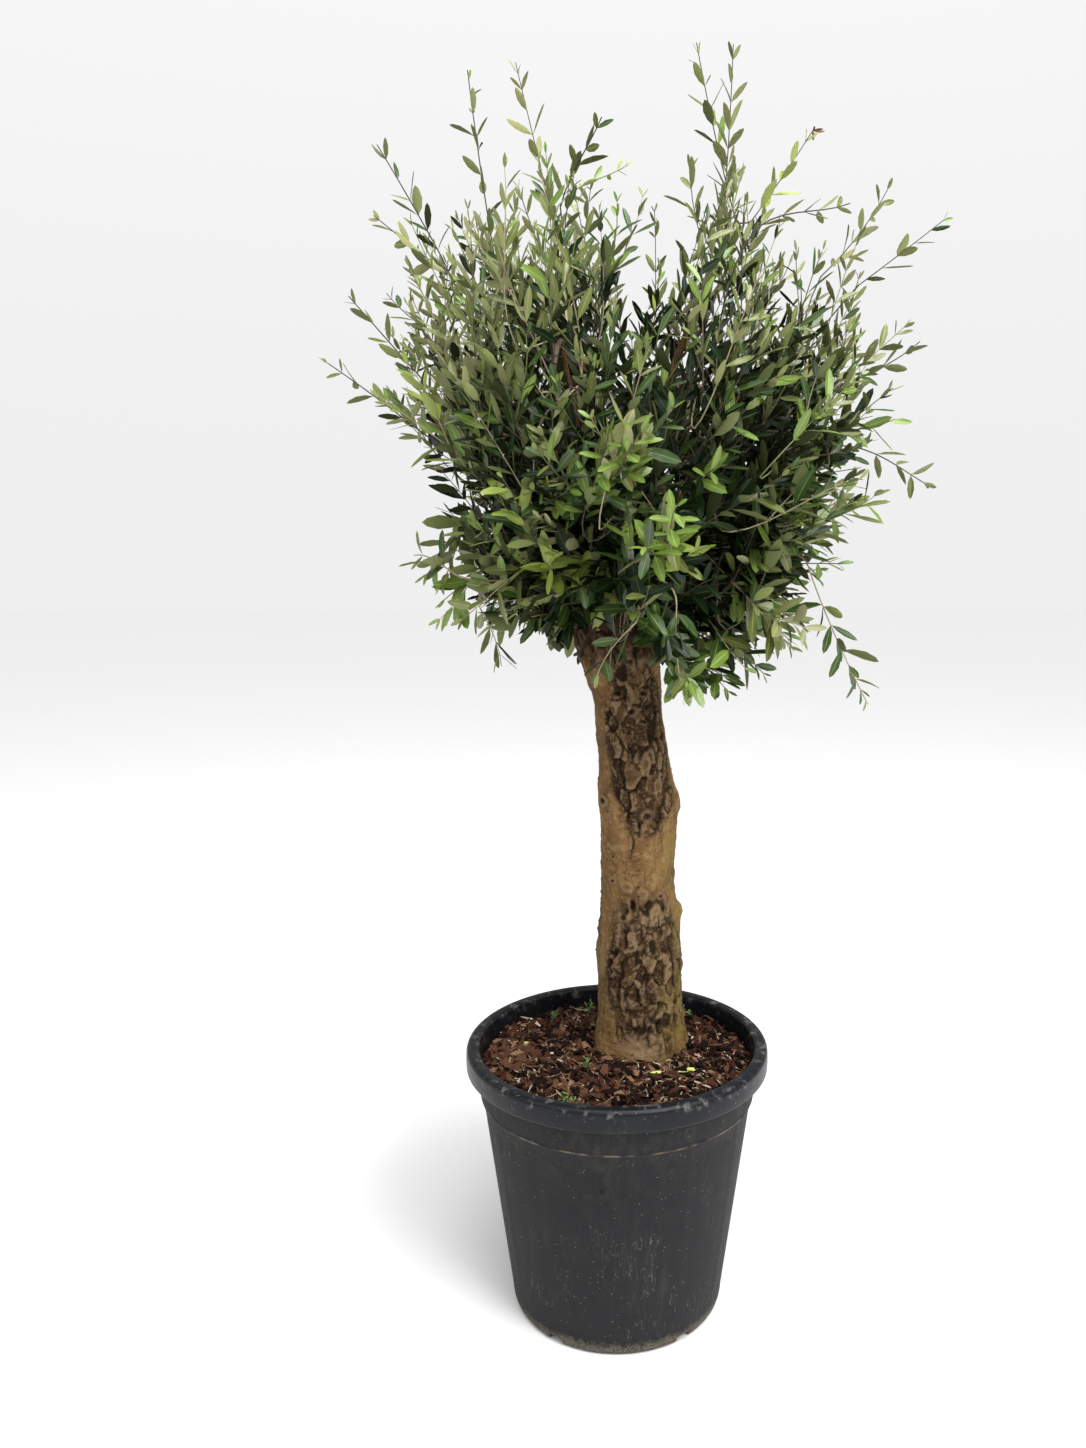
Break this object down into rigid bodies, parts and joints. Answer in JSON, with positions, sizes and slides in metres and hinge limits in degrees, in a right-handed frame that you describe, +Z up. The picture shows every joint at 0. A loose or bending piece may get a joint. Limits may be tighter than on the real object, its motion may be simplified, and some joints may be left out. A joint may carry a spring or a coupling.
{
  "type": "potted olive tree",
  "caption": "Olive tree grown as a standard in a round nursery container, with a burled leaning trunk, spreading boughs and a loose round crown of narrow leaves.",
  "frame": {"origin": "centre of the container's flat underside, on the ground", "axes": "+Z up along the plant's height, -Y towards the side that is seen first, +X to the right of that view"},
  "size_m": [0.829, 0.7546, 1.8003],
  "materials": {
    "pot_plastic": "moulded blue-black plastic, dull and dusty, with a smoother rim",
    "growing_medium": "moist red-brown bark chips and fibre",
    "trunk_bark": "rough scaly ochre and grey-brown bark",
    "bough_bark": "smoother grey-brown bark",
    "foliage": "narrow leathery leaves, glossy green above and silvery olive beneath"
  },
  "bodies": {
    "root": {"bough_middle_back": "bough_bark", "bough_middle_back_left": "bough_bark", "bough_middle_back_right": "bough_bark", "bough_middle_front": "bough_bark", "bough_middle_front_left": "bough_bark", "bough_middle_front_right": "bough_bark", "bough_top_left": "bough_bark", "bough_top_right": "bough_bark", "bough_upper_back_left": "bough_bark", "bough_upper_back_right": "bough_bark", "bough_upper_front_left": "bough_bark", "bough_upper_front_right": "bough_bark", "bough_upper_left": "bough_bark", "bough_upper_right": "bough_bark", "foliage_low_back_left": "foliage", "foliage_low_back_right": "foliage", "foliage_low_front": "foliage", "foliage_low_left": "foliage", "foliage_low_right": "foliage", "foliage_middle_back": "foliage", "foliage_middle_back_left": "foliage", "foliage_middle_back_right": "foliage", "foliage_middle_front": "foliage", "foliage_middle_front_left": "foliage", "foliage_middle_front_right": "foliage", "foliage_top_left": "foliage", "foliage_top_right": "foliage", "foliage_upper_back_left": "foliage", "foliage_upper_back_right": "foliage", "foliage_upper_front_left": "foliage", "foliage_upper_front_right": "foliage", "foliage_upper_left": "foliage", "foliage_upper_right": "foliage", "growing_medium": "growing_medium", "pot": "pot_plastic", "shoot_back_left": "foliage", "shoot_drooping_right": "foliage", "shoot_far_back": "foliage", "shoot_far_left": "foliage", "shoot_far_right": "foliage", "shoot_hanging_back": "foliage", "shoot_hanging_left": "foliage", "shoot_hanging_right": "foliage", "shoot_high_left": "foliage", "shoot_high_right": "foliage", "shoot_inner_left": "foliage", "shoot_low_left": "foliage", "shoot_low_right": "foliage", "shoot_rising_back": "foliage", "shoot_rising_front": "foliage", "shoot_side_left": "foliage", "shoot_side_right": "foliage", "shoot_tall_centre_left": "foliage", "shoot_tall_front_right": "foliage", "shoot_tall_left": "foliage", "shoot_tall_right": "foliage", "shoot_trunk_front": "foliage", "shoot_upright_right": "foliage", "shoot_withered_tip": "foliage", "trunk": "trunk_bark"}
  },
  "joints": []
}
